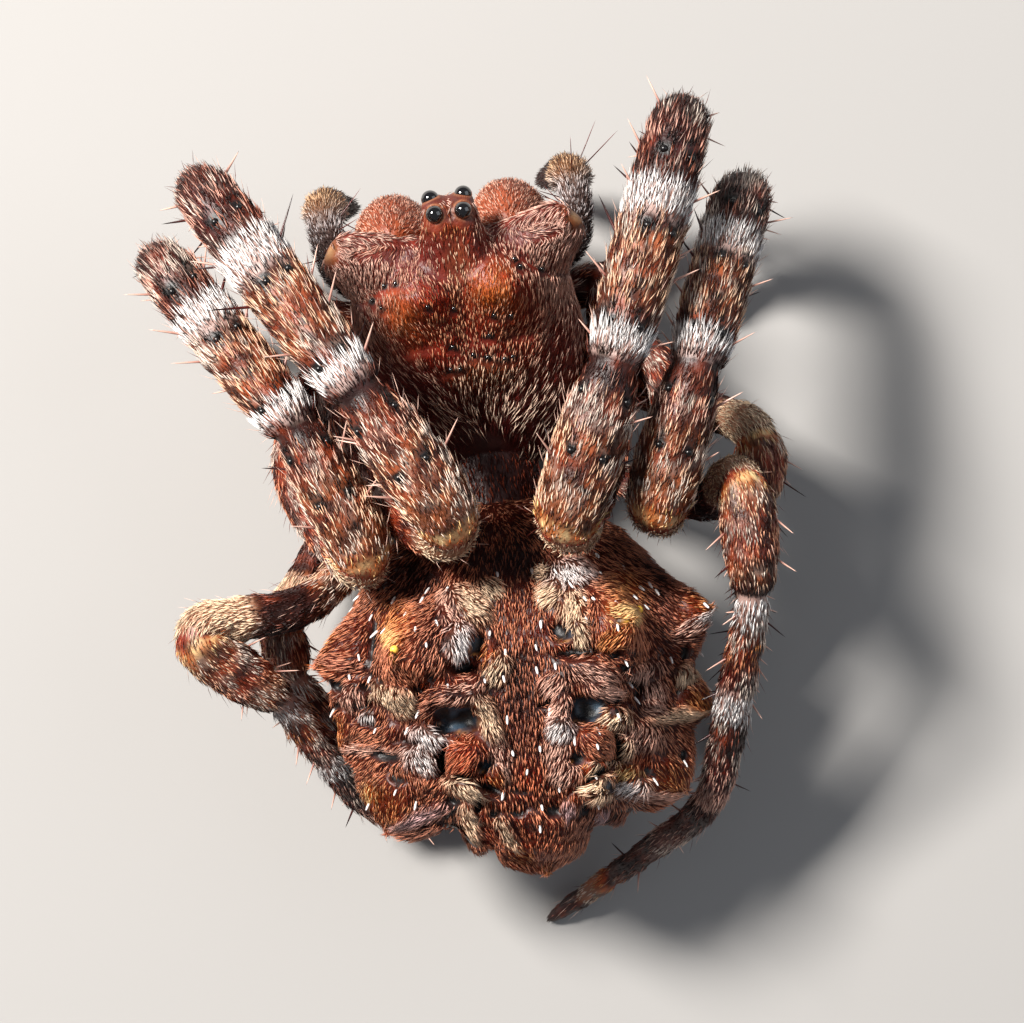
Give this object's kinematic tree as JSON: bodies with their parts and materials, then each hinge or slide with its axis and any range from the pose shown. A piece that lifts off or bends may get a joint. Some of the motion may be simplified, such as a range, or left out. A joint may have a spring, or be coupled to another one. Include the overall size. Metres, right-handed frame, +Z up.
{
  "type": "orb weaver spider model",
  "caption": "Life-size still model of an adult orb weaver spider, crouched with its bent, spiny legs drawn in, its broad abdomen bearing humps at the shoulders and a fringe of blunt lobes",
  "frame": {"origin": "middle of the bounding box's footprint, on the surface that the eight feet stand on", "axes": "+X the spider's right, +Y towards its head, +Z up"},
  "size_m": [0.0122, 0.0146, 0.0068],
  "materials": {
    "cuticle": "hairy rust-red cuticle, satin",
    "abdomen": "soft hairy skin, rust brown with cream streaks",
    "legs": "hairy, banded brown, cream and dark brown",
    "jaws": "short orange hair over satin cuticle",
    "underside": "dark brown satin cuticle",
    "eyes": "glossy black",
    "fangs": "dark brown, polished"
  },
  "bodies": {
    "root": {"abdomen": "abdomen", "carapace": "cuticle", "chelicera_left": "jaws", "chelicera_right": "jaws", "eye_front_left": "eyes", "eye_front_right": "eyes", "eye_rear_left": "eyes", "eye_rear_right": "eyes", "eyes_side_left": "eyes", "eyes_side_right": "eyes", "fang_left": "fangs", "fang_right": "fangs", "femur_left_1": "legs", "femur_left_2": "legs", "femur_left_3": "legs", "femur_left_4": "legs", "femur_right_1": "legs", "femur_right_2": "legs", "femur_right_3": "legs", "femur_right_4": "legs", "metatarsus_left_1": "legs", "metatarsus_left_2": "legs", "metatarsus_left_3": "legs", "metatarsus_left_4": "legs", "metatarsus_right_1": "legs", "metatarsus_right_2": "legs", "metatarsus_right_3": "legs", "metatarsus_right_4": "legs", "mouthparts": "underside", "palp_base_left": "legs", "palp_base_right": "legs", "palp_tip_left": "legs", "palp_tip_right": "legs", "patella_left_1": "legs", "patella_left_2": "legs", "patella_left_3": "legs", "patella_left_4": "legs", "patella_right_1": "legs", "patella_right_2": "legs", "patella_right_3": "legs", "patella_right_4": "legs", "pedicel": "underside", "spinnerets": "underside", "sternum": "underside", "tarsus_left_1": "legs", "tarsus_left_2": "legs", "tarsus_left_3": "legs", "tarsus_left_4": "legs", "tarsus_right_1": "legs", "tarsus_right_2": "legs", "tarsus_right_3": "legs", "tarsus_right_4": "legs", "tibia_left_1": "legs", "tibia_left_2": "legs", "tibia_left_3": "legs", "tibia_left_4": "legs", "tibia_right_1": "legs", "tibia_right_2": "legs", "tibia_right_3": "legs", "tibia_right_4": "legs"}
  },
  "joints": []
}
